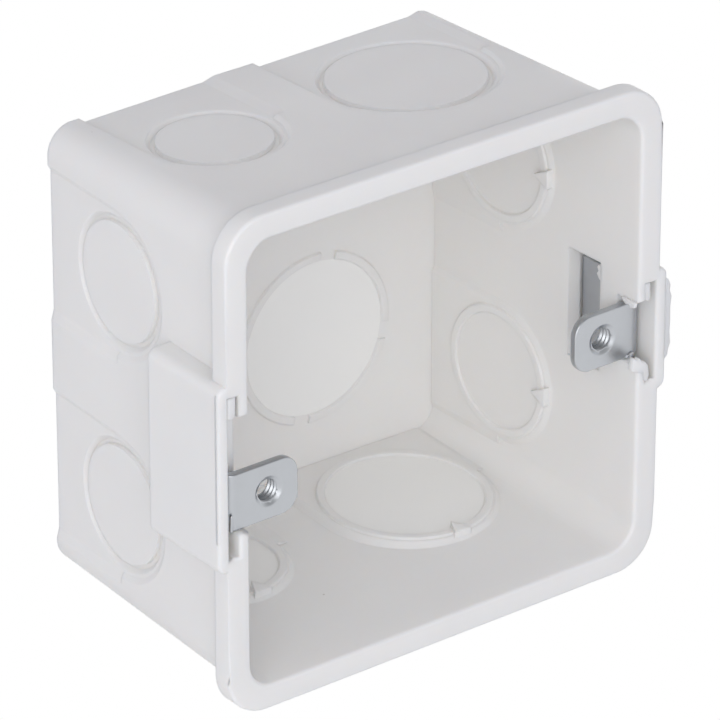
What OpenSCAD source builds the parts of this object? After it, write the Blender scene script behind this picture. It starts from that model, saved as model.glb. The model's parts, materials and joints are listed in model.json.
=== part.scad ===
// Moulded flush-mounting gang box for one wiring accessory, with two folded steel lugs.
// The open front looks along -Y and the box stands on its bottom wall, on Z = 0.
// Inside the modules X = 0 and Z = 0 are the middle of the box and Y = 0 is the front of the rim.

/* [Box] */
// Width and height of the rim
box_size = 76; // [74:0.5:86]
// Depth from the rim's front to the outside of the back wall
box_depth = 46; // [42:0.5:60]
// Outer corner radius of the rim
rim_corner_r = 6.5; // [4:0.5:9]
// Depth of the rim band
rim_depth = 3.2; // [2.4:0.1:4.5]
// Step from the rim down to the side walls
rim_step = 1.8; // [1.2:0.1:2.2]
// Thickness of the side walls
wall = 2.1; // [1.6:0.1:2.6]
// Thickness of the back wall
back_wall = 2; // [1.5:0.1:3]
// Outer corner radius of the side walls, just behind the rim
wall_corner_r = 6.6; // [5:0.2:7]
// Outer corner radius of the side walls at the back
back_corner_r = 4.2; // [3:0.2:6]
// Inner corner radius of the cavity, at the front
cavity_corner_r = 4.2; // [2:0.2:6]
// Draft angle of the side walls
draft = 2.4; // [1:0.1:3]

/* [Wall pockets] */
// Depth of the U-shaped pockets in the top and bottom walls, which stand in on the inside by as much
deep_pocket = 0.65; // [0.5:0.05:0.9]
// Tilt of the floors of those pockets, which lie deeper on their left
pocket_tilt = 0.8; // [0:0.1:1]
// Depth of the pockets in the left and right walls
flat_pocket = 0.45; // [0.3:0.05:0.6]
// Distance from the back of the box to the centre of the knockouts
knockout_from_back = 16.7; // [15.5:0.1:18]
// Width of the gentle slope on one side of the top and bottom pockets
wide_ramp = 2.6; // [1.5:0.1:2.8]
// Width of the gentle slope on one side of the left and right pockets
narrow_ramp = 1.6; // [1.2:0.1:2.2]
// How far a pocket's floor goes on to that slope
pocket_shift = 0.3; // [0:0.1:0.6]
// Width of the steep slope on the other side
steep_ramp = 0.8; // [0.4:0.1:1.2]
// Width of the slope round a pocket's front end
end_ramp = 0.8; // [0.5:0.1:1.4]

/* [Knockouts] */
// Radius of the small disc in the top and bottom walls
small_disc_r = 8.3; // [7.5:0.1:9.2]
// Place of the small disc, to the left of the middle
small_disc_x = 18; // [17:0.1:18.8]
// Radius of the large disc in the top and bottom walls
large_disc_r = 11.6; // [10.5:0.1:12]
// Place of the large disc, to the right of the middle
large_disc_x = 15.4; // [14.8:0.1:16.6]
// Radius of the discs in the left and right walls
side_disc_r = 8.9; // [8:0.1:9.5]
// Distance of the side discs above and below the middle
side_disc_z = 17.4; // [16.5:0.1:18]
// Width of the ring groove round a disc
groove_w = 1.2; // [0.8:0.1:1.4]
// Depth of the ring groove
groove_d = 0.7; // [0.4:0.1:0.9]
// Width of the flat between the ring groove and the foot of the pocket's slope
groove_margin = 0.5; // [0.2:0.1:0.8]
// Height of the rib round each disc on the inside of the wall
rib_h = 0.35; // [0.2:0.05:0.5]
// Width of that rib
rib_w = 1.4; // [0.8:0.1:2]
// Radius of the disc in the back wall
back_disc_r = 12.2; // [10:0.1:13.5]
// Place of the back disc, to the right of the middle
back_disc_x = 10.2; // [8:0.1:12]
// Place of the back disc, below the middle
back_disc_drop = 11.1; // [9:0.1:12.5]
// Width of each gap in the rib of the back disc
back_gap = 2.8; // [2:0.1:5]
// Turn of those gaps about the disc
back_gap_turn = 11; // [-30:1:30]
// Length of the pull wedge at the front of a disc, on the inside
wedge_l = 3; // [2:0.1:4]
// Height of that wedge
wedge_h = 0.8; // [0.5:0.1:1.2]

/* [Lug housings] */
// Distance that the housings stand out from the rim
bulge_out = 1.5; // [1.3:0.1:3]
// Corner radius of the housings
bulge_corner_r = 1.4; // [0.6:0.1:1.8]
// Wall over and under the slot in a housing
housing_wall = 1.9; // [1.5:0.1:3]
// Wall behind the foot of the slot
housing_foot = 0.7; // [0.5:0.1:3]
// How far the housing of the adjustable lug lies below the middle of the box
slide_drop = 0.2; // [0:0.05:1]
// How far the housing of the fixed lug lies below the middle of the box
fixed_drop = 0.65; // [0:0.05:1]
// How far the adjustable lug slides up
slide_travel = 8.8; // [6:0.1:9.5]
// Room over the fixed lug, which is pushed down to the foot of its notch
fixed_play = 0.8; // [0.2:0.1:1]
// Free depth of the notch behind the adjustable ear
under_ear = 1.6; // [0.8:0.1:3]
// Distance from the rim's front to the window behind a lug's lip
window_from_front = 8.1; // [7:0.1:9.5]
// How far the window runs past the slot at its top and at its foot
window_over = 0.9; // [0:0.1:1.2]
// Height of the wall between the window and the foot of the slot
window_shelf = 0.4; // [0.3:0.1:2]

/* [Lugs] */
// Distance from the rim's side in to a lug's screw, which sets the screws 60.3 apart
screw_inset = 7.85; // [7.5:0.05:8.2]
// Distance from the rim's side in to the outside of the lugs' legs
leg_inset = 0.65; // [0.4:0.05:1]
// Thickness of the steel
sheet = 1.2; // [0.9:0.05:1.3]
// Width of the ear, along Z
ear_h = 8.7; // [7.6:0.1:9]
// Distance from the screw to the free end of the ear
ear_tip = 5; // [4.4:0.1:5.6]
// Radius of the ear's free corners
ear_corner_r = 2.8; // [1.5:0.1:3.6]
// Inside radius of the fold
fold_r = 0.6; // [0.3:0.1:1]
// Length of the leg, from the front of the ear to its end
leg_l = 12; // [11:0.1:12.5]
// Width of the leg's wide end, along Z
leg_h = 14; // [12:0.1:15]
// Distance from the front of the ear to the shoulders of the leg
shoulder = 4.2; // [3.5:0.1:6]
// Radius of the bore that the screw thread is cut in
thread_r = 1.65; // [1.6:0.05:1.9]
// Outer radius of the collar drawn out behind the ear
collar_r = 2.75; // [2.5:0.05:3]
// Length of the collar behind the ear
collar_l = 1.4; // [0.8:0.1:1.8]
// Radius of the rolled lead-in on the front of the ear
lead_r = 2.4; // [2:0.05:2.5]
// Depth of that lead-in
lead_d = 0.5; // [0.3:0.05:0.6]
// How far the adjustable ear lies behind the rim's front
slide_recess = 1.1; // [0.8:0.1:1.6]
// How far the fixed ear lies behind the rim's front
fixed_recess = 2.9; // [2.4:0.1:3.2]
// Free space between a lug and each side of its slot
fit_gap = 0.25; // [0.15:0.05:0.35]
// Space that is left under an ear and over it at the ends of its travel
stop_gap = 0.3; // [0.2:0.05:0.5]
// Space that is left under and over the adjustable leg at the ends of its travel
leg_gap = 0.9; // [0.6:0.05:1.2]

/* [Hidden] */
$fn = 64;
slope = tan(draft);
// Cutters run past the face that they cut by this much
over = 1;
// Added forms are rooted this deep in the wall that carries them
root = 0.5;
// Pockets are cut from this far above the outer face, so that the lug housings stay whole
skim = 0.1;
half = box_size / 2;
screw_x = half - screw_inset;
// Outside of the lugs' legs and of their slots, from the middle
leg_out = half - leg_inset;
slot_out = leg_out + fit_gap;
slot_in = leg_out - sheet - fit_gap;
bulge_half = half + bulge_out;
// Both slots are as deep as the fixed lug, which lies further in, asks for
slot_depth = fixed_recess + leg_l + stop_gap;
bulge_depth = slot_depth + housing_foot;
window_to = slot_depth - window_shelf;
// Heights of the slots and of the notches that the ears stand in
slide_slot_h = leg_h + slide_travel + 2 * leg_gap;
slide_notch_h = ear_h + slide_travel + 2 * stop_gap;
fixed_slot_h = leg_h + fixed_play + 2 * stop_gap;
fixed_notch_h = ear_h + fixed_play + 2 * stop_gap;
slide_notch_d = slide_recess + sheet + under_ear;
fixed_notch_d = fixed_recess + sheet + 2 * fit_gap;

// Half width over the side walls and inside them at a depth from the rim's front
function wall_half(y) = half - rim_step - (y - rim_depth) * slope;
function cavity_half(y) = wall_half(y) - wall;

// A square of half width h with round corners
module rounded_square(h, r) {
  square([2 * h, 2 * (h - r)], center = true);
  square([2 * (h - r), 2 * h], center = true);
  for (x = [-1, 1], z = [-1, 1]) translate([x * (h - r), z * (h - r)]) circle(r);
}

// The same square as one outline, corner by corner, for the drafted blocks
function rounded_outline(h, r) = [
  for (corner = [0 : 3], i = [0 : $fn / 4]) let (
    turn = 90 * corner + 360 * i / $fn,
    sx = corner % 3 == 0 ? 1 : -1,
    sz = corner < 2 ? 1 : -1)
  [sx * (h - r) + r * cos(turn), sz * (h - r) + r * sin(turn)]];

// A square block between two depths, narrowing with the draft, its corner radius going from r0 to r1
module drafted_block(y0, y1, h, r0, r1) {
  front = [for (p = rounded_outline(h, r0)) [p[0], y0, p[1]]];
  back = [for (p = rounded_outline(h - (y1 - y0) * slope, r1)) [p[0], y1, p[1]]];
  n = len(front);
  sides = [for (i = [0 : n - 1]) [i, (i + 1) % n, n + (i + 1) % n, n + i]];
  polyhedron(concat(front, back), concat([[for (i = [1 : n]) n - i]], [[for (i = [0 : n - 1]) n + i]], sides));
}

// Puts what is made on the top wall on another wall
module on_wall(side) {
  if (side == "top") children();
  if (side == "bottom") mirror([0, 0, 1]) children();
  if (side == "right") rotate([0, 90, 0]) children();
  if (side == "left") mirror([1, 0, 0]) rotate([0, 90, 0]) children();
}

// On the top wall: the origin at the centre of a knockout on the pocket's floor, Z outwards, Y to the back
module at_knockout(x, depth, tilt) {
  translate([x, box_depth, wall_half(box_depth)]) rotate([-draft, 0, 0])
    translate([0, -knockout_from_back, -depth]) rotate([0, -tilt, 0]) children();
}

// Radius of a pocket's floor round its disc
function floor_r(disc_r) = disc_r + groove_w + groove_margin;

// The U-shaped form of a pocket with its floor at Z = 0: a steep and a gentle side to the back and
// a conical end round the knockout, all going on past the depth by the amount given
module u_form(disc_r, depth, ramp, past) {
  rise = (depth + past) / depth;
  r = floor_r(disc_r);
  to_back = knockout_from_back + over;
  translate([0, to_back, 0]) rotate([90, 0, 0]) linear_extrude(height = to_back) polygon([
    [-r, 0], [r + pocket_shift, 0],
    [r + pocket_shift + ramp * rise, depth + past], [-r - steep_ramp * rise, depth + past]]);
  cylinder(h = depth + past, r1 = r, r2 = r + end_ramp * rise);
}

// The ring groove round a disc, with a sloping outer side
module ring_groove(disc_r) {
  rotate_extrude() polygon([[disc_r, -groove_d], [disc_r + groove_w / 2, -groove_d],
                            [disc_r + groove_w, 0], [disc_r + groove_w, root], [disc_r, root]]);
}

// The rib round a disc on the inside
module ring_rib(disc_r) {
  edge = rib_h / 2;
  rotate_extrude() polygon([[disc_r + edge, -rib_h], [disc_r + rib_w - edge, -rib_h],
                            [disc_r + rib_w, 0], [disc_r + rib_w, root], [disc_r, root], [disc_r, 0]]);
}

// The wedge at the front of a disc on the inside
module pull_wedge(disc_r) {
  tip = -disc_r + wedge_l / 3;
  translate([0, 0, -wedge_h]) linear_extrude(height = wedge_h + root)
    polygon([[0, tip], [-wedge_l / 2, tip - wedge_l], [wedge_l / 2, tip - wedge_l]]);
}

// Every knockout in the side walls: wall, place, disc radius, then the pocket's depth, its floor's tilt,
// the width of its gentle slope and how far it is cut from above the face
knockouts = concat(
  [for (side = ["top", "bottom"]) each [
    [side, -small_disc_x, small_disc_r, deep_pocket, pocket_tilt, wide_ramp, root],
    [side, large_disc_x, large_disc_r, deep_pocket, pocket_tilt, wide_ramp, root]]],
  [for (side = ["left", "right"], s = [-1, 1]) [
    side, s * side_disc_z, side_disc_r, flat_pocket, 0, narrow_ramp, skim]]);

// The housing that a lug's slot of the height given runs in, on the right-hand side
module lug_bulge(slot_h) {
  h = slot_h + 2 * housing_wall;
  r = bulge_corner_r;
  inner = cavity_half(bulge_depth) + wall / 2;
  translate([0, bulge_depth, 0]) rotate([90, 0, 0]) linear_extrude(height = bulge_depth) {
    translate([inner, -h / 2]) square([bulge_half - r - inner, h]);
    translate([inner, -h / 2 + r]) square([bulge_half - inner, h - 2 * r]);
    for (z = [-1, 1]) translate([bulge_half - r, z * (h / 2 - r)]) circle(r);
  }
}

// A lug's slot, the notch for its ear and the window behind the lip, on the right-hand side
module lug_cut(slot_h, notch_h, notch_d) {
  inner = cavity_half(slot_depth) - over;
  window_h = slot_h + 2 * window_over;
  translate([slot_in, -over, -slot_h / 2]) cube([slot_out - slot_in, slot_depth + over, slot_h]);
  translate([inner, -over, -notch_h / 2]) cube([slot_in + fit_gap - inner, notch_d + over, notch_h]);
  translate([inner, window_from_front, -window_h / 2])
    cube([slot_in + fit_gap - inner, window_to - window_from_front, window_h]);
}

module box_shell() {
  rotate([-90, 0, 0]) linear_extrude(height = rim_depth) rounded_square(half, rim_corner_r);
  drafted_block(rim_depth / 2, box_depth, wall_half(rim_depth / 2), wall_corner_r, back_corner_r);
  translate([0, 0, -fixed_drop]) lug_bulge(fixed_slot_h);
  translate([0, 0, -slide_drop]) mirror([1, 0, 0]) lug_bulge(slide_slot_h);
}

// The rib of the back disc, in four arcs
module back_rib() {
  translate([back_disc_x, box_depth - back_wall, -back_disc_drop]) difference() {
    rotate([-90, 0, 0]) ring_rib(back_disc_r);
    for (turn = [0, 90]) rotate([0, back_gap_turn + turn, 0])
      cube([back_gap, 4 * rib_h, 3 * back_disc_r], center = true);
  }
}

module box_body() {
  cavity_front = -over;
  color([0.93, 0.93, 0.92]) {
    difference() {
      box_shell();
      difference() {
        drafted_block(cavity_front, box_depth - back_wall, cavity_half(cavity_front),
                      cavity_corner_r, cavity_corner_r);
        for (k = knockouts) on_wall(k[0]) at_knockout(k[1], k[3], k[4]) translate([0, 0, -wall]) {
          u_form(k[2], k[3], k[5], root);
          ring_rib(k[2]);
          pull_wedge(k[2]);
        }
        back_rib();
      }
      for (k = knockouts) on_wall(k[0]) at_knockout(k[1], k[3], k[4]) {
        u_form(k[2], k[3], k[5], k[6]);
        ring_groove(k[2]);
      }
      translate([0, 0, -fixed_drop]) lug_cut(fixed_slot_h, fixed_notch_h, fixed_notch_d);
      translate([0, 0, -slide_drop]) mirror([1, 0, 0]) lug_cut(slide_slot_h, slide_notch_h, slide_notch_d);
    }
  }
}

// The flat of the ear, seen from the front, with its tapped bore and collar
module ear() {
  tip = screw_x - ear_tip;
  fold_x = leg_out - sheet - fold_r;
  difference() {
    union() {
      rotate([90, 0, 0]) translate([0, 0, -sheet]) linear_extrude(height = sheet) {
        translate([tip + ear_corner_r, -ear_h / 2]) square([fold_x - tip - ear_corner_r, ear_h]);
        translate([tip, ear_corner_r - ear_h / 2]) square([ear_corner_r, ear_h - 2 * ear_corner_r]);
        for (z = [-1, 1]) translate([tip + ear_corner_r, z * (ear_h / 2 - ear_corner_r)]) circle(ear_corner_r);
      }
      translate([screw_x, sheet / 2, 0]) rotate([-90, 0, 0]) cylinder(h = sheet / 2 + collar_l, r = collar_r);
    }
    translate([screw_x, -over, 0]) rotate([-90, 0, 0]) cylinder(h = 2 * over + sheet + collar_l, r = thread_r);
    translate([screw_x, 0, 0]) rotate([-90, 0, 0]) cylinder(h = lead_d, r1 = lead_r, r2 = thread_r);
  }
}

// The folded lug, on the right-hand side, with the front of its ear at Y = 0
module lug() {
  bend = sheet + fold_r;
  ear();
  translate([leg_out - bend, bend, -ear_h / 2]) rotate([0, 0, -90])
    rotate_extrude(angle = 90) translate([fold_r, 0]) square([sheet, ear_h]);
  translate([leg_out - sheet, bend, -ear_h / 2]) cube([sheet, shoulder - bend, ear_h]);
  translate([leg_out - sheet, shoulder, -leg_h / 2]) cube([sheet, leg_l - shoulder, leg_h]);
}

// Both lugs rest at the foot of their notches, half their travel or play under the middle
module fixed_lug() {
  color([0.68, 0.70, 0.73]) translate([0, fixed_recess, -fixed_drop - fixed_play / 2]) lug();
}

module adjustable_lug() {
  color([0.68, 0.70, 0.73]) mirror([1, 0, 0])
    translate([0, slide_recess, -slide_drop - slide_travel / 2]) lug();
}

// From the middle of the rim's front to the middle of the footprint
module standing() {
  translate([0, -box_depth / 2, half]) children();
}

standing() box_body();
standing() fixed_lug();
standing() adjustable_lug();
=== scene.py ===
"""The finish of a moulded gang box with two folded steel lugs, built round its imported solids.

The plastic body and both lugs are merged copies of their solids with softened edges. The screw threads,
the flash that the mould left beside the slots and the marks on the plastic are added here.
All places are in the frame of the solids, in metres: +X to the right of the open front, -Y out of it, +Z up.
"""

import json
import math

import bmesh
import bpy
import numpy as np
from bpy.props import FloatProperty, FloatVectorProperty, IntProperty, PointerProperty, StringProperty
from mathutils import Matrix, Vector


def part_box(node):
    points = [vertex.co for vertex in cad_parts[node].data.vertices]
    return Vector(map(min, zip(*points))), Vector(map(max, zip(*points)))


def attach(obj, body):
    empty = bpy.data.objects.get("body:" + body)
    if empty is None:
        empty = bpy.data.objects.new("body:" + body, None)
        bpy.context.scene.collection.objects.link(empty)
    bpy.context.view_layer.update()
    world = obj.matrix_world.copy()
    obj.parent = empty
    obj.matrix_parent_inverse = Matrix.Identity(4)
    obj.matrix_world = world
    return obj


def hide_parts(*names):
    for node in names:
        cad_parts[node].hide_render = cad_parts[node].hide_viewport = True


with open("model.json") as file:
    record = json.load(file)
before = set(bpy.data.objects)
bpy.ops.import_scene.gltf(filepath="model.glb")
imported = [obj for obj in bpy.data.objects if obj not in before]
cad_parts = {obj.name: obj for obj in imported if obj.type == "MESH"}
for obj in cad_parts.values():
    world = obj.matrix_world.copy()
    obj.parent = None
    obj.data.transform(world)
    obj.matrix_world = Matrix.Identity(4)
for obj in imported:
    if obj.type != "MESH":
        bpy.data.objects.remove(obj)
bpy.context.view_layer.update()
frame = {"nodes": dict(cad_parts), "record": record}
RECORD = frame["record"]

bl_info = {
    "name": "Moulded gang box",
    "version": (1, 0, 0),
    "blender": (4, 5, 0),
    "location": "View3D > Sidebar > Gang Box",
    "description": "Finishes a moulded gang box and its two tapped steel lugs",
    "category": "Object",
}

MM = 0.001
BODY_OF_BOX = "box"
BODY_OF_SLIDER = "sliding_lug"
BOX_LOW, BOX_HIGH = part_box("box_body")
RIM_Y = BOX_LOW.y
PLASTIC = "White PVC, injection moulded"
THIN = "thin"
STEEL = "Mild steel, bright zinc plated"
# Flash and burrs in mm: the outline, where it starts and ends, and the axis that it is drawn out along
FLASH = (
    # Web at the top of the adjustable lug's slot
    ([(-37.7, 50.2), (-37.7, 47.3), (-37.3, 47.0), (-36.8, 47.1), (-36.5, 47.6), (-36.45, 50.2)], -22.95, -21.2, 1),
    # Tab at the top of the fixed lug's slot
    ([(35.3, 45.4), (35.35, 43.2), (35.7, 42.5), (36.2, 42.6), (36.35, 43.2), (36.3, 45.2)], -23.06, -21.0, 1),
    # Torn lip under the fixed lug
    ([(33.2, 32.1), (33.6, 34.1), (34.2, 33.5), (34.6, 33.8), (35.2, 32.9), (35.7, 32.9), (36.2, 32.2),
      (36.4, 30.6), (36.1, 29.7), (35.5, 29.9), (35.3, 31.2)], -23.06, -22.1, 1),
    # Thin flash over the fixed lug
    ([(-23.0, 42.7), (-22.9, 42.0), (-22.2, 41.7), (-21.6, 42.1), (-20.9, 41.9), (-20.3, 42.3), (-20.0, 42.7)],
     33.5, 34.05, 0),
    # Burr at the front of the window behind the fixed lug
    ([(-15.2, 45.3), (-14.3, 45.4), (-14.0, 44.9), (-14.3, 44.4), (-13.9, 43.9), (-14.4, 43.2), (-15.2, 42.7)],
     34.0, 34.9, 0),
    # Flash along the outside of the fixed lug's housing
    ([(39.2, 45.2), (39.75, 44.7), (40.1, 43.8), (40.0, 42.9), (40.35, 42.0), (40.15, 40.3), (40.2, 38.1),
      (40.1, 36.4), (40.3, 34.6), (39.9, 33.6), (39.8, 32.8), (39.2, 32.2)], -23.0, -22.75, 1),
    # Witness line along the outside of the adjustable lug's housing
    ([(-39.4, 28.2), (-39.58, 28.5), (-39.6, 51.0), (-39.4, 51.3)], -22.6, -22.35, 1),
)
# Burrs on the steel, low in the fold of each lug, with the body that carries them
BURRS = (
    ([(34.4, 32.75), (35.0, 32.55), (35.9, 32.7), (36.0, 33.3), (35.4, 33.5), (34.7, 33.2)], -20.35, -19.8, 1,
     BODY_OF_BOX),
    ([(-36.9, 29.2), (-36.4, 29.1), (-36.3, 30.6), (-36.5, 31.9), (-36.8, 31.6)], -22.1, -21.7, 1,
     BODY_OF_SLIDER),
)
# Knockouts whose skin is painted lighter, a painted glow for the light that comes through them, in mm: place of the
# centre from the box's axis, and radius
FLOOR_DISCS = ((-18.0, 6.3, 8.3), (15.4, 6.3, 11.6))
BACK_DISC = (10.2, -11.1, 12.2)
MIDDLE_Z = 38.0


# Small helpers

def linear_colour(code):
    """The linear RGBA of an sRGB colour written as RRGGBB."""
    srgb = np.array([int(code[i:i + 2], 16) for i in (0, 2, 4)]) / 255
    linear = np.where(srgb <= 0.04045, srgb / 12.92, ((srgb + 0.055) / 1.055) ** 2.4)
    return (*linear.tolist(), 1.0)


def add_node(tree, kind, inputs=None, **settings):
    """One node with its settings. An input that is given as (node, output) is linked, any other is a value."""
    node = tree.nodes.new(kind)
    for name, value in settings.items():
        setattr(node, name, value)
    for name, value in (inputs or {}).items():
        if isinstance(value, tuple) and isinstance(value[0], bpy.types.Node):
            tree.links.new(value[0].outputs[value[1]], node.inputs[name])
        else:
            node.inputs[name].default_value = value
    return node


def new_material(name):
    """An empty node material and its tree."""
    material = bpy.data.materials.new(name)
    material.use_nodes = True
    material.node_tree.nodes.clear()
    return material, material.node_tree


def mesh_object(name, vertices, faces):
    """A smooth-shaded object at the origin from arrays of points and of corner numbers."""
    mesh = bpy.data.meshes.new(name)
    mesh.from_pydata(np.asarray(vertices, float).tolist(), [], np.asarray(faces, int).tolist())
    mesh.polygons.foreach_set("use_smooth", np.ones(len(mesh.polygons), bool))
    piece = bpy.data.objects.new(name, mesh)
    bpy.context.scene.collection.objects.link(piece)
    return piece


def grid_faces(rows, columns, wrap=False):
    """Corner numbers of the quads of a grid of points, row by row. With wrap the last column joins the first."""
    row = np.arange(rows - 1)[:, None]
    column = np.arange(columns if wrap else columns - 1)[None, :]
    after = (column + 1) % columns
    quads = np.stack([row * columns + column, row * columns + after,
                      (row + 1) * columns + after, (row + 1) * columns + column], axis=-1)
    return quads.reshape(-1, 4)


def merged_copy(node, name, flat_angle):
    """A copy of a solid's mesh with its loose triangles joined and its flat areas made whole faces."""
    shell = bmesh.new()
    shell.from_mesh(frame["nodes"][node].data)
    bmesh.ops.remove_doubles(shell, verts=shell.verts, dist=1e-6)
    bmesh.ops.dissolve_limit(shell, angle_limit=flat_angle, verts=shell.verts, edges=shell.edges)
    bmesh.ops.triangulate(shell, faces=[f for f in shell.faces if len(f.verts) > 4], ngon_method="BEAUTY")
    mesh = bpy.data.meshes.new(name)
    shell.to_mesh(mesh)
    shell.free()
    mesh.polygons.foreach_set("use_smooth", np.ones(len(mesh.polygons), bool))
    piece = bpy.data.objects.new(name, mesh)
    bpy.context.scene.collection.objects.link(piece)
    return piece


def edge_turns(mesh):
    """For every edge, the angle between its two faces: the arc cosine of the product of their normals."""
    normal = np.empty(len(mesh.polygons) * 3)
    mesh.polygons.foreach_get("normal", normal)
    normal = normal.reshape(-1, 3)
    corners = np.empty(len(mesh.polygons), int)
    mesh.polygons.foreach_get("loop_total", corners)
    edge = np.empty(len(mesh.loops), int)
    mesh.loops.foreach_get("edge_index", edge)
    face = np.repeat(np.arange(len(mesh.polygons)), corners)
    order = np.argsort(edge, kind="stable")
    count = np.bincount(edge, minlength=len(mesh.edges))
    start = np.concatenate([[0], np.cumsum(count)[:-1]])
    turn = np.zeros(len(mesh.edges))
    paired = np.flatnonzero(count == 2)
    first = face[order[start[paired]]]
    second = face[order[start[paired] + 1]]
    turn[paired] = np.arccos(np.clip((normal[first] * normal[second]).sum(1), -1, 1))
    return turn


def edge_points(mesh):
    """The two end points of every edge, as an array of edges, ends and coordinates."""
    place = np.empty(len(mesh.vertices) * 3)
    mesh.vertices.foreach_get("co", place)
    ends = np.empty(len(mesh.edges) * 2, int)
    mesh.edges.foreach_get("vertices", ends)
    return place.reshape(-1, 3)[ends].reshape(-1, 2, 3)


def edge_room(mesh):
    """For every edge, the length of the shortest edge that meets it at an angle at either of its ends.
    Every pair of edges at a vertex is compared: they meet at an angle when |cos| < 0.9."""
    ends = edge_points(mesh)
    span = ends[:, 1] - ends[:, 0]
    length = np.linalg.norm(span, axis=1)
    way = span / np.maximum(length, 1e-12)[:, None]
    vertex = np.empty(len(mesh.edges) * 2, int)
    mesh.edges.foreach_get("vertices", vertex)
    order = np.argsort(vertex, kind="stable")
    edge = order // 2
    count = np.bincount(vertex, minlength=len(mesh.vertices))
    start = np.concatenate([[0], np.cumsum(count)[:-1]])
    group = vertex[order]
    place = np.arange(len(order)) - start[group]
    room = np.full(len(mesh.edges), np.inf)
    for step in range(1, count.max()):
        other = edge[start[group] + (place + step) % count[group]]
        apart = (other != edge) & (np.abs((way[edge] * way[other]).sum(1)) < 0.9)
        np.minimum.at(room, edge[apart], length[other[apart]])
    return room


def soften(piece, width, segments):
    """Rounds the edges by a radius of their own, or by less where there is little room, and evens the shading."""
    radius = np.minimum(width, 0.42 * edge_room(piece.data)) * (width > 0)
    layer = piece.data.attributes.new("bevel_weight_edge", "FLOAT", "EDGE")
    layer.data.foreach_set("value", (radius / width.max()).astype(np.float32))
    bevel = piece.modifiers.new("Softened edges", "BEVEL")
    bevel.limit_method = "WEIGHT"
    bevel.width = width.max()
    bevel.segments = segments
    bevel.use_clamp_overlap = False
    bevel.loop_slide = False
    even = piece.modifiers.new("Even shading", "WEIGHTED_NORMAL")
    even.weight = 90
    even.keep_sharp = True


def slab(outline, start, end, axis):
    """Points and faces of an outline drawn out along an axis, from the start to the end, in mm. The outline
    is given in the other two axes, in their order."""
    flat = np.asarray(outline, float)
    count = len(flat)
    others = [a for a in range(3) if a != axis]
    points = np.empty((2, count, 3))
    points[:, :, others] = flat
    points[:, :, axis] = np.array([start, end])[:, None]
    area = (flat[:, 0] * np.roll(flat[:, 1], -1) - np.roll(flat[:, 0], -1) * flat[:, 1]).sum()
    ring = np.arange(count)
    after = np.roll(ring, -1)
    faces = [ring.tolist(), (ring[::-1] + count).tolist()]
    faces += np.stack([ring, ring + count, after + count, after], 1).tolist()
    if (area > 0) == (axis != 1):
        faces = [face[::-1] for face in faces]
    return points.reshape(-1, 3) * MM, faces


def joined(name, parts):
    """One object from several lists of points and faces, with its faces turned outwards."""
    shell = bmesh.new()
    for points, faces in parts:
        corners = [shell.verts.new(p) for p in points]
        for face in faces:
            shell.faces.new([corners[i] for i in face])
    bmesh.ops.recalc_face_normals(shell, faces=shell.faces)
    mesh = bpy.data.meshes.new(name)
    shell.to_mesh(mesh)
    shell.free()
    mesh.polygons.foreach_set("use_smooth", np.ones(len(mesh.polygons), bool))
    piece = bpy.data.objects.new(name, mesh)
    bpy.context.scene.collection.objects.link(piece)
    return piece


# Materials

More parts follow.
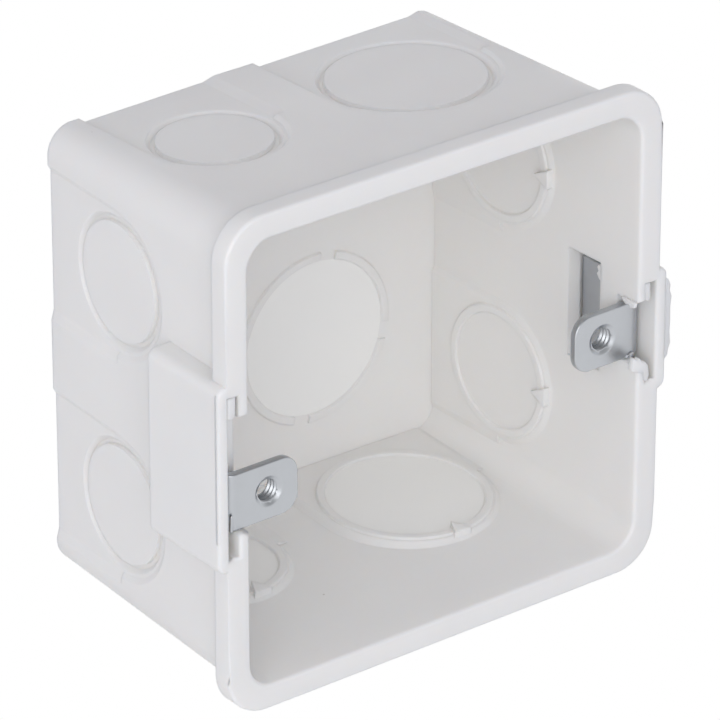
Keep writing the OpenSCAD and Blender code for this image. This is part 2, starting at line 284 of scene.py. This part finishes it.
def moulded_plastic(look):
    """White PVC, injection moulded: a satin skin that drinks in a little light, faintly uneven in gloss,
    with a few dark specks of burnt plastic."""
    material, tree = new_material(PLASTIC)
    place = add_node(tree, "ShaderNodeTexCoord")
    cloud = add_node(tree, "ShaderNodeTexNoise", {
        "Vector": (place, "Object"), "Scale": 1 / look.cloud_size, "Detail": 3.0, "Roughness": 0.5})
    tint = add_node(tree, "ShaderNodeMix", {
        "Factor": (cloud, "Fac"), "A": linear_colour(look.colour), "B": linear_colour(look.second_colour)},
        data_type="RGBA")
    # Burnt specks, in one out of three cells of a sparse pattern
    spots = add_node(tree, "ShaderNodeTexVoronoi", {
        "Vector": (place, "Object"), "Scale": 1 / look.speck_spacing, "Randomness": 1.0})
    split = add_node(tree, "ShaderNodeSeparateColor", {"Color": (spots, "Color")})
    chance = add_node(tree, "ShaderNodeMath", {0: (split, "Red"), 1: 0.35}, operation="LESS_THAN")
    disc = add_node(tree, "ShaderNodeMapRange", {
        "Value": (spots, "Distance"), "From Min": 0.4 * look.speck_size / look.speck_spacing,
        "From Max": look.speck_size / look.speck_spacing, "To Min": 0.75, "To Max": 0.0})
    speck = add_node(tree, "ShaderNodeMath", {0: (disc, "Result"), 1: (chance, "Value")}, operation="MULTIPLY")
    tint = add_node(tree, "ShaderNodeMix", {
        "Factor": (speck, "Value"), "A": (tint, "Result"), "B": linear_colour(look.speck_colour)},
        data_type="RGBA")
    # The mould's fine spark texture, drawn a little coarser than real so that it shows
    grain = add_node(tree, "ShaderNodeTexNoise", {
        "Vector": (place, "Object"), "Scale": 1 / look.grain_size, "Detail": 2.0, "Roughness": 0.6})
    # Slow waves where the wall shrank as it cooled
    wave = add_node(tree, "ShaderNodeTexNoise", {
        "Vector": (place, "Object"), "Scale": 1 / look.wave_size, "Detail": 2.0, "Roughness": 0.4})
    rough = add_node(tree, "ShaderNodeMapRange", {
        "Value": (cloud, "Fac"), "From Min": 0.3, "From Max": 0.7,
        "To Min": look.least_roughness, "To Max": look.most_roughness})
    # The small radius along every edge that the rim's rounding doesn't reach
    eased = add_node(tree, "ShaderNodeBevel", {"Radius": look.edge_round}, samples=4)
    waves = add_node(tree, "ShaderNodeBump", {
        "Height": (wave, "Fac"), "Strength": 1.0, "Distance": look.wave_depth, "Normal": (eased, "Normal")})
    grains = add_node(tree, "ShaderNodeBump", {
        "Height": (grain, "Fac"), "Strength": 1.0, "Distance": look.grain_depth, "Normal": (waves, "Normal")})
    # The knockouts are only a skin, which light from behind and from the ground comes through: that light is painted
    # into their colour as a lighter tint, a painted glow, and their translucency is turned down
    thin = add_node(tree, "ShaderNodeAttribute", attribute_name=THIN)
    tint = add_node(tree, "ShaderNodeMix", {
        "Factor": (thin, "Fac"), "A": (tint, "Result"), "B": linear_colour(look.knockout_glow_colour)},
        data_type="RGBA")
    weight = add_node(tree, "ShaderNodeMapRange", {
        "Value": (thin, "Fac"), "To Min": look.depth_weight, "To Max": 0.1 * look.depth_weight})
    skin = add_node(tree, "ShaderNodeBsdfPrincipled", {
        "Base Color": (tint, "Result"), "Roughness": (rough, "Result"), "Normal": (grains, "Normal"),
        "IOR": 1.53, "Subsurface Weight": (weight, "Result"), "Subsurface Scale": look.depth,
        "Subsurface Radius": (1.0, 0.9, 0.8)})
    add_node(tree, "ShaderNodeOutputMaterial", {"Surface": (skin, "BSDF")})
    return material


def plastic(look):
    """The one plastic that the body and all that was moulded with it share."""
    return bpy.data.materials.get(PLASTIC) or moulded_plastic(look)


def plated_steel(look):
    """Cold-rolled mild steel, bright zinc plated: a bluish metal with soft cloudy patches, faint rolling
    lines along the strip and a gloss that changes from patch to patch."""
    material, tree = new_material(STEEL)
    place = add_node(tree, "ShaderNodeTexCoord")
    patch = add_node(tree, "ShaderNodeTexNoise", {
        "Vector": (place, "Object"), "Scale": 1 / look.patch_size, "Detail": 4.0, "Roughness": 0.6})
    along = add_node(tree, "ShaderNodeMapping", {
        "Vector": (place, "Object"), "Scale": (0.06, 0.06, 1.0)})
    line = add_node(tree, "ShaderNodeTexNoise", {
        "Vector": (along, "Vector"), "Scale": 1 / look.line_size, "Detail": 3.0, "Roughness": 0.6})
    tint = add_node(tree, "ShaderNodeMix", {
        "Factor": (patch, "Fac"), "A": linear_colour(look.colour), "B": linear_colour(look.second_colour)},
        data_type="RGBA")
    rough = add_node(tree, "ShaderNodeMapRange", {
        "Value": (patch, "Fac"), "From Min": 0.3, "From Max": 0.7,
        "To Min": look.least_roughness, "To Max": look.most_roughness})
    lines = add_node(tree, "ShaderNodeBump", {
        "Height": (line, "Fac"), "Strength": 1.0, "Distance": look.line_depth})
    metal = add_node(tree, "ShaderNodeBsdfPrincipled", {
        "Base Color": (tint, "Result"), "Metallic": 1.0, "Roughness": (rough, "Result"),
        "Normal": (lines, "Normal")})
    add_node(tree, "ShaderNodeOutputMaterial", {"Surface": (metal, "BSDF")})
    return material


def pale_floor(look):
    """Matt white board. Its colour alone would be a pale grey, so what the camera and reflections see
    is mixed towards white, which leaves part of the object's shadow."""
    material, tree = new_material("White board, matt")
    path = add_node(tree, "ShaderNodeLightPath")
    either = add_node(tree, "ShaderNodeMath", {0: (path, "Is Camera Ray"), 1: (path, "Is Glossy Ray")},
                      operation="MAXIMUM")
    seen = add_node(tree, "ShaderNodeMath", {0: (either, "Value"), 1: (path, "Is Transmission Ray")},
                    operation="MAXIMUM")
    share = add_node(tree, "ShaderNodeMath", {0: (seen, "Value"), 1: look.floor_white}, operation="MULTIPLY")
    board = add_node(tree, "ShaderNodeBsdfDiffuse", {"Color": linear_colour(look.floor_colour)})
    white = add_node(tree, "ShaderNodeEmission", {"Color": (1.0, 1.0, 1.0, 1.0), "Strength": 1.0})
    both = add_node(tree, "ShaderNodeMixShader", {0: (share, "Value"), 1: (board, "BSDF"), 2: (white, "Emission")})
    add_node(tree, "ShaderNodeOutputMaterial", {"Surface": (both, "Shader")})
    return material


# What a user would change

class MouldedBoxSettings(bpy.types.PropertyGroup):
    """Sizes and colours of the plastic body."""
    rim_round: FloatProperty(name="Rim rounding", description="Radius along the front of the rim",
                             default=0.5 * MM, unit="LENGTH")
    # Painted glow: the knockouts' skin is painted this lighter colour, standing for the light that comes through it
    knockout_glow_colour: StringProperty(name="Skin colour", description="The thin skin of the knockouts",
                                default="FDFCF8")
    speck_spacing: FloatProperty(name="Speck spacing", description="Size of the cells that may hold a speck",
                                 default=11 * MM, unit="LENGTH")
    speck_size: FloatProperty(name="Speck size", description="Radius of a speck",
                              default=0.28 * MM, unit="LENGTH")
    speck_colour: StringProperty(name="Speck colour", description="Burnt plastic in a speck", default="A89F92")
    edge_round: FloatProperty(name="Edge rounding", description="Radius along all other edges",
                              default=0.3 * MM, unit="LENGTH")
    sharp_turn: FloatProperty(name="Least turn", description="Edges that turn by less stay as they are",
                              default=math.radians(8), subtype="ANGLE")
    colour: StringProperty(name="Colour", description="Plastic, as RRGGBB", default="F4F3F0")
    second_colour: StringProperty(name="Second colour", description="Its slow variation", default="F2F0ED")
    cloud_size: FloatProperty(name="Cloud size", description="Width of the uneven patches",
                              default=14 * MM, unit="LENGTH")
    grain_size: FloatProperty(name="Grain size", description="Width of the mould's fine texture",
                              default=0.35 * MM, unit="LENGTH")
    grain_depth: FloatProperty(name="Grain depth", description="Depth of that texture",
                               default=0.007 * MM, unit="LENGTH")
    wave_size: FloatProperty(name="Wave size", description="Width of the waves of shrinkage",
                             default=9 * MM, unit="LENGTH")
    wave_depth: FloatProperty(name="Wave depth", description="Depth of those waves",
                              default=0.12 * MM, unit="LENGTH")
    least_roughness: FloatProperty(name="Least roughness", description="On the glossiest patches", default=0.34)
    most_roughness: FloatProperty(name="Most roughness", description="On the dullest patches", default=0.46)
    depth_weight: FloatProperty(name="Translucency", description="Share of the light that enters", default=0.6)
    depth: FloatProperty(name="Translucency depth", description="How far that light travels",
                         default=1.5 * MM, unit="LENGTH")


class SteelLugSettings(bpy.types.PropertyGroup):
    """Sizes and colours of the two lugs."""
    edge_round: FloatProperty(name="Edge rounding", description="Radius along the sheared edges",
                              default=0.26 * MM, unit="LENGTH")
    sharp_turn: FloatProperty(name="Least turn", description="Edges that turn by less stay as they are",
                              default=math.radians(25), subtype="ANGLE")
    thread_pitch: FloatProperty(name="Thread pitch", description="Distance between two turns of the thread",
                                default=0.7 * MM, unit="LENGTH")
    thread_depth: FloatProperty(name="Thread depth", description="Depth of the thread in the bore's wall",
                                default=0.36 * MM, unit="LENGTH")
    rows_per_turn: IntProperty(name="Rows per turn", description="Rings of points in one turn", default=12)
    colour: StringProperty(name="Colour", description="Zinc, as RRGGBB", default="B9BCC0")
    second_colour: StringProperty(name="Second colour", description="Its cloudy patches", default="C6C9CE")
    patch_size: FloatProperty(name="Patch size", description="Width of the cloudy patches",
                              default=2.5 * MM, unit="LENGTH")
    line_size: FloatProperty(name="Line size", description="Distance between the rolling lines",
                             default=0.12 * MM, unit="LENGTH")
    line_depth: FloatProperty(name="Line depth", description="Depth of the rolling lines",
                              default=0.003 * MM, unit="LENGTH")
    least_roughness: FloatProperty(name="Least roughness", description="On the brightest patches", default=0.30)
    most_roughness: FloatProperty(name="Most roughness", description="On the dullest patches", default=0.42)


class FlashSettings(bpy.types.PropertyGroup):
    """Sizes of the marks that the mould and the press left."""
    rounding: FloatProperty(name="Rounding", description="Radius along the edges of flash and burrs",
                            default=0.12 * MM, unit="LENGTH")


class StudioSettings(bpy.types.PropertyGroup):
    """Floor, light and camera."""
    floor_size: FloatProperty(name="Floor size", description="Side of the floor", default=6.0, unit="LENGTH")
    floor_colour: StringProperty(name="Floor colour", description="Board, as RRGGBB", default="F2F2F2")
    floor_white: FloatProperty(name="Floor white", description="Share of pure white in what the camera sees",
                               default=1.0)
    sky: FloatProperty(name="Sky", description="Mean level of the light from all round", default=0.48)
    sky_lean: FloatProperty(name="Sky lean", description="How much it grows towards its bright side", default=0.4)
    sky_side: FloatVectorProperty(name="Sky side", description="The way to its bright side",
                                  default=(-0.62, -0.70, 0.36), subtype="DIRECTION")
    gloss_top: FloatProperty(name="Gloss overhead", description="Level that reflections see overhead", default=0.35)
    gloss_back: FloatProperty(name="Gloss behind", description="Level that they see behind the object", default=1.7)
    sky_colour: StringProperty(name="Sky colour", description="Its colour at the horizon, as RRGGBB", default="EEF2FF")
    top_colour: StringProperty(name="Overhead colour", description="Its colour overhead, as RRGGBB", default="F9F9FF")
    key_power: FloatProperty(name="Key power", description="Lamp beside the camera", default=3.4, unit="POWER")
    key_size: FloatProperty(name="Key size", description="Side of that lamp", default=0.8, unit="LENGTH")
    key_place: FloatVectorProperty(name="Key place", description="Middle of that lamp",
                                   default=(-0.59, -0.71, 0.30), subtype="XYZ_LENGTH")
    lens: FloatProperty(name="Lens", description="Focal length in mm on a 36 mm frame", default=315.4)
    target: FloatVectorProperty(name="Target", description="Point in the middle of the picture",
                                default=(0.001702, -0.000907, 0.034897), subtype="XYZ_LENGTH")
    distance: FloatProperty(name="Distance", description="From that point to the camera", default=0.8896,
                            unit="LENGTH")
    azimuth: FloatProperty(name="Azimuth", description="Turn of the camera to the left of the open front",
                           default=math.radians(37.701), subtype="ANGLE")
    elevation: FloatProperty(name="Elevation", description="Height of the camera above the horizon",
                             default=math.radians(27.22), subtype="ANGLE")


# The pieces

def thin_faces(mesh):
    """For every face, whether it lies in the skin of a knockout in the floor or in the back: its centre is
    nearer to the disc's axis than the disc's radius, and near the disc's own wall. These faces get the painted glow."""
    centre = np.empty(len(mesh.polygons) * 3)
    mesh.polygons.foreach_get("center", centre)
    x, y, z = centre.reshape(-1, 3).T / MM
    z = z - MIDDLE_Z
    back_x, back_z, back_radius = BACK_DISC
    thin = (np.hypot(x - back_x, z - back_z) < back_radius) & (y > 20)
    for disc_x, disc_y, radius in FLOOR_DISCS:
        thin |= (np.hypot(x - disc_x, y - disc_y) < radius) & (z < -32)
    return thin


class GANGBOX_OT_moulded_box(bpy.types.Operator):
    """The plastic body with softened edges, standing for its solid"""
    bl_idname = "gangbox.moulded_box"
    bl_label = "Moulded box"

    def execute(self, context):
        look = context.scene.gangbox_body
        piece = merged_copy("box_body", "moulded_box", math.radians(0.6))
        sharp = edge_turns(piece.data) > look.sharp_turn
        at_front = (np.abs(edge_points(piece.data)[:, :, 1] - RIM_Y) < 0.01 * MM).all(1)
        piece.data.edges.foreach_set("use_edge_sharp", sharp & ~at_front)
        soften(piece, look.rim_round * (sharp & at_front), 3)
        piece.data.materials.clear()
        piece.data.materials.append(plastic(look))
        # Marks the knockouts' skin, which the material paints lighter as a painted glow
        thin = piece.data.attributes.new(THIN, "FLOAT", "FACE")
        thin.data.foreach_set("value", thin_faces(piece.data).astype(np.float32))
        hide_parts("box_body")
        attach(piece, BODY_OF_BOX)
        return {"FINISHED"}


class GANGBOX_OT_steel_lugs(bpy.types.Operator):
    """Both folded lugs with softened edges and cut threads, standing for their solids"""
    bl_idname = "gangbox.steel_lugs"
    bl_label = "Steel lugs"

    def threaded(self, piece, mount, look):
        """Takes out the plain wall of the bore and sets a thread in its place. At a turn a round the axis
        and a depth d, its radius is the bore's plus the thread's depth times a triangle wave of
        d / pitch - a / 2 pi, faded out at both ends of the bore."""
        centre = np.array(mount["pos_m"])
        radius = mount["dims"]["r_mm"] * MM
        length = mount["dims"]["length_mm"] * MM
        slack = 0.02 * MM
        shell = bmesh.new()
        shell.from_mesh(piece.data)
        wall = [f for f in shell.faces if all(
            abs(math.hypot(v.co.x - centre[0], v.co.z - centre[2]) - radius) < slack
            and abs(v.co.y - centre[1]) < length / 2 + slack for v in f.verts)]
        if not wall:
            raise RuntimeError(f"no bore wall found for {piece.name}")
        ring = sorted({math.atan2(v.co.z - centre[2], v.co.x - centre[0])
                       for f in wall for v in f.verts if v.co.y < centre[1]})
        bmesh.ops.delete(shell, geom=wall, context="FACES")
        turn = np.array(ring)
        rows = int(look.rows_per_turn * length / look.thread_pitch)
        depth = np.linspace(0, length, rows + 1)
        phase = (depth[:, None] / look.thread_pitch - turn[None, :] / (2 * math.pi)) % 1
        fade = np.clip(np.minimum(depth, length - depth) / (0.4 * look.thread_pitch), 0, 1)[:, None]
        reach = radius + look.thread_depth * fade * (1 - np.abs(2 * phase - 1))
        points = np.stack([centre[0] + reach * np.cos(turn), np.broadcast_to(
            centre[1] - length / 2 + depth[:, None], reach.shape), centre[2] + reach * np.sin(turn)], -1)
        added = bpy.data.meshes.new("thread")
        added.from_pydata(points.reshape(-1, 3).tolist(), [], grid_faces(rows + 1, len(ring), True)[:, ::-1].tolist())
        shell.from_mesh(added)
        bmesh.ops.remove_doubles(shell, verts=shell.verts, dist=0.004 * MM)
        shell.to_mesh(piece.data)
        shell.free()
        bpy.data.meshes.remove(added)
        piece.data.polygons.foreach_set("use_smooth", np.ones(len(piece.data.polygons), bool))

    def execute(self, context):
        look = context.scene.gangbox_lugs
        steel = plated_steel(look)
        mounts = {m["name"]: m for m in RECORD["mounts"]}
        for node, body in (("fixed_lug", BODY_OF_BOX), ("adjustable_lug", BODY_OF_SLIDER)):
            piece = merged_copy(node, f"plated_{node}", math.radians(0.6))
            mount = mounts[f"{node}_thread"]
            self.threaded(piece, mount, look)
            ends = edge_points(piece.data)
            from_axis = np.hypot(ends[:, :, 0] - mount["pos_m"][0], ends[:, :, 2] - mount["pos_m"][2])
            in_bore = (from_axis < (mount["dims"]["r_mm"] * MM + look.thread_depth) * 1.05).all(1)
            soften(piece, look.edge_round * ((edge_turns(piece.data) > look.sharp_turn) & ~in_bore), 3)
            piece.data.materials.clear()
            piece.data.materials.append(steel)
            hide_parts(node)
            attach(piece, body)
        return {"FINISHED"}


class GANGBOX_OT_flash(bpy.types.Operator):
    """The flash and burrs that the mould and the press left"""
    bl_idname = "gangbox.flash"
    bl_label = "Flash and burrs"

    def finish_piece(self, piece, material, body, slot, rounding):
        bevel = piece.modifiers.new("Softened edges", "BEVEL")
        bevel.width = rounding
        bevel.segments = 2
        bevel.limit_method = "ANGLE"
        piece.data.materials.append(material)
        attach(piece, body)

    def execute(self, context):
        look = context.scene.gangbox_flash
        material = plastic(context.scene.gangbox_body)
        piece = joined("moulding_flash", [slab(*part) for part in FLASH])
        self.finish_piece(piece, material, BODY_OF_BOX, "white_plastic", look.rounding)
        for number, part in enumerate(BURRS):
            burr = joined(f"steel_burr_{number + 1}", [slab(*part[:4])])
            self.finish_piece(burr, bpy.data.materials[STEEL], part[4], "zinc_steel", look.rounding)
        return {"FINISHED"}


class GANGBOX_OT_studio(bpy.types.Operator):
    """Floor, sky, lamp and camera"""
    bl_idname = "gangbox.studio"
    bl_label = "Studio"

    def sky(self, look, scene):
        """A white surround for the camera and for reflections. What lights the object is dimmer overhead."""
        world = bpy.data.worlds.new("Studio")
        world.use_nodes = True
        tree = world.node_tree
        tree.nodes.clear()
        way = add_node(tree, "ShaderNodeTexCoord")
        split = add_node(tree, "ShaderNodeSeparateXYZ", {"Vector": (way, "Generated")})
        side = add_node(tree, "ShaderNodeVectorMath", {0: (way, "Generated"), 1: tuple(look.sky_side)},
                        operation="DOT_PRODUCT")
        level = add_node(tree, "ShaderNodeMapRange", {
            "Value": (side, "Value"), "From Min": -1.0, "From Max": 1.0,
            "To Min": look.sky - look.sky_lean, "To Max": look.sky + look.sky_lean})
        colour = add_node(tree, "ShaderNodeMix", {
            "Factor": (split, "Z"), "A": linear_colour(look.sky_colour), "B": linear_colour(look.top_colour)},
            data_type="RGBA")
        light = add_node(tree, "ShaderNodeBackground", {"Color": (colour, "Result"), "Strength": (level, "Result")})
        white = add_node(tree, "ShaderNodeBackground", {"Color": (1.0, 1.0, 1.0, 1.0), "Strength": 1.0})
        behind = add_node(tree, "ShaderNodeMapRange", {
            "Value": (side, "Value"), "From Min": 0.3, "From Max": -0.8,
            "To Min": 1.0, "To Max": look.gloss_back})
        gloss = add_node(tree, "ShaderNodeMapRange", {
            "Value": (split, "Z"), "From Min": 0.1, "From Max": 0.75,
            "To Min": (behind, "Result"), "To Max": look.gloss_top}, interpolation_type="SMOOTHSTEP")
        mirror = add_node(tree, "ShaderNodeBackground", {"Strength": (gloss, "Result")})
        path = add_node(tree, "ShaderNodeLightPath")
        first = add_node(tree, "ShaderNodeMixShader", {
            0: (path, "Is Glossy Ray"), 1: (light, "Background"), 2: (mirror, "Background")})
        seen = add_node(tree, "ShaderNodeMath", {
            0: (path, "Is Camera Ray"), 1: (path, "Is Transmission Ray")}, operation="MAXIMUM")
        both = add_node(tree, "ShaderNodeMixShader", {
            0: (seen, "Value"), 1: (first, "Shader"), 2: (white, "Background")})
        add_node(tree, "ShaderNodeOutputWorld", {"Surface": (both, "Shader")})
        scene.world = world

    def execute(self, context):
        scene = context.scene
        look = scene.gangbox_studio
        half = look.floor_size / 2
        floor = mesh_object("floor", [(-half, -half, 0), (half, -half, 0), (half, half, 0), (-half, half, 0)],
                            [(0, 1, 2, 3)])
        floor.data.materials.append(pale_floor(look))
        self.sky(look, scene)
        lamp = bpy.data.lights.new("Key", "AREA")
        lamp.energy = look.key_power
        lamp.size = look.key_size
        key = bpy.data.objects.new("Key", lamp)
        scene.collection.objects.link(key)
        target = Vector(look.target)
        key.location = Vector(look.key_place)
        key.rotation_euler = (key.location - target).to_track_quat("Z", "Y").to_euler()
        lens = bpy.data.cameras.new("Camera")
        lens.lens = look.lens
        lens.sensor_width = 36.0
        lens.clip_end = 20.0
        camera = bpy.data.objects.new("Camera", lens)
        scene.collection.objects.link(camera)
        back = Vector((-math.sin(look.azimuth) * math.cos(look.elevation),
                       -math.cos(look.azimuth) * math.cos(look.elevation), math.sin(look.elevation)))
        camera.location = target + look.distance * back
        camera.rotation_euler = back.to_track_quat("Z", "Y").to_euler()
        scene.camera = camera
        scene.view_settings.view_transform = "Standard"
        return {"FINISHED"}


class GANGBOX_PT_panel(bpy.types.Panel):
    """The steps and their settings"""
    bl_label = "Gang Box"
    bl_idname = "GANGBOX_PT_panel"
    bl_space_type = "VIEW_3D"
    bl_region_type = "UI"
    bl_category = "Gang Box"

    def draw(self, context):
        for step in OPERATORS:
            self.layout.operator(step.bl_idname)
        for group in SETTINGS:
            box = self.layout.box()
            for name in SETTINGS[group].__annotations__:
                box.prop(getattr(context.scene, group), name)


SETTINGS = {
    "gangbox_body": MouldedBoxSettings,
    "gangbox_lugs": SteelLugSettings,
    "gangbox_flash": FlashSettings,
    "gangbox_studio": StudioSettings,
}
OPERATORS = (GANGBOX_OT_moulded_box, GANGBOX_OT_steel_lugs, GANGBOX_OT_flash, GANGBOX_OT_studio)
CLASSES = (*SETTINGS.values(), *OPERATORS, GANGBOX_PT_panel)


def register():
    for cls in CLASSES:
        bpy.utils.register_class(cls)
    for group, cls in SETTINGS.items():
        setattr(bpy.types.Scene, group, PointerProperty(type=cls))


def unregister():
    for group in SETTINGS:
        delattr(bpy.types.Scene, group)
    for cls in reversed(CLASSES):
        bpy.utils.unregister_class(cls)


def main():
    register()
    bpy.ops.gangbox.moulded_box()
    bpy.ops.gangbox.steel_lugs()
    bpy.ops.gangbox.flash()
    bpy.ops.gangbox.studio()


if __name__ == "__main__":
    main()
